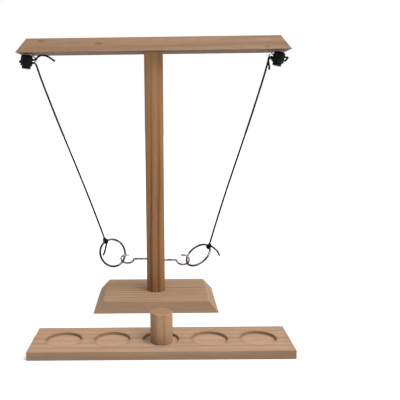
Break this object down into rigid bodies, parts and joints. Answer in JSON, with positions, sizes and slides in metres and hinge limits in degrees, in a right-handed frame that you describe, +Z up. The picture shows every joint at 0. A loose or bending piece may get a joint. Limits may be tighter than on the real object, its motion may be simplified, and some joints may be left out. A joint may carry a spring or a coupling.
{
  "type": "ring toss set",
  "caption": "Tabletop hook-and-ring toss game: wooden T-frame with screw hooks, metal rings on cords held by cord locks, and a recessed ladder board with a marker peg.",
  "frame": {"origin": "on the table, under the centre of the whole set's bounding box; the post stands behind it and the ladder board lies in front", "axes": "+X along the crossbar and the ladder board, to the players' right; +Y from the ladder board to the frame; +Z up"},
  "size_m": [0.3539, 0.2549, 0.357],
  "materials": {
    "pine": "satin",
    "post_wood": "satin",
    "steel": "polished",
    "zinc": "bright zinc",
    "cord": "braided",
    "plastic": "satin"
  },
  "bodies": {
    "frame": {"base": "pine", "crossbar": "pine", "post": "post_wood", "base_screw": "zinc", "crossbar_screw": "zinc", "left_hook": "zinc", "right_hook": "zinc", "left_screw_eye": "zinc", "right_screw_eye": "zinc", "left_lock_body": "plastic", "right_lock_body": "plastic", "left_lock_cord": "cord", "right_lock_cord": "cord", "left_lock_spring": "zinc", "right_lock_spring": "zinc"},
    "left_button": {"left_lock_button": "plastic"},
    "right_button": {"right_lock_button": "plastic"},
    "left_line": {"left_cord": "cord", "left_ring_knot": "cord", "left_knot_tail": "cord"},
    "right_line": {"right_cord": "cord", "right_ring_knot": "cord", "right_knot_tail": "cord"},
    "left_loop": {"left_ring": "steel"},
    "right_loop": {"right_ring": "steel"},
    "ladder": {"ladder_board": "pine"},
    "peg": {"marker_peg": "pine"}
  },
  "joints": [
    {"name": "left_cord_swing", "type": "hinge", "parent": "frame", "child": "left_line", "pos_m": [-0.15499, 0.06445, 0.3258], "axis": [0, 1, 0], "range_deg": [0, 40]},
    {"name": "right_cord_swing", "type": "hinge", "parent": "frame", "child": "right_line", "pos_m": [0.15154, 0.06445, 0.32958], "axis": [0, -1, 0], "range_deg": [0, 28]},
    {"name": "left_ring_flap", "type": "hinge", "parent": "left_line", "child": "left_loop", "pos_m": [-0.06848, 0.06658, 0.08608], "axis": [-0.7132, -0.5895, -0.3792], "range_deg": [-3, 4]},
    {"name": "right_ring_flap", "type": "hinge", "parent": "right_line", "child": "right_loop", "pos_m": [0.07322, 0.06844, 0.07694], "axis": [-0.2891, 0.9237, 0.2513], "range_deg": [-1, 10]},
    {"name": "left_lock_press", "type": "slide", "parent": "frame", "child": "left_button", "axis": [0.1219, 0, 0.9925], "range_m": [0, 0.0024], "stiffness_N_per_m": 350, "springref_m": -0.004, "deforming": ["left_lock_spring"]},
    {"name": "right_lock_press", "type": "slide", "parent": "frame", "child": "right_button", "axis": [0.2419, 0, 0.9703], "range_m": [0, 0.0024], "stiffness_N_per_m": 350, "springref_m": -0.004, "deforming": ["right_lock_spring"]},
    {"name": "board_slide", "type": "slide", "parent": "frame", "child": "ladder", "axis": [0, -1, 0], "range_m": [0, 0.25]},
    {"name": "peg_lift", "type": "slide", "parent": "ladder", "child": "peg", "axis": [0, 0, 1], "range_m": [0, 0.08]}
  ]
}
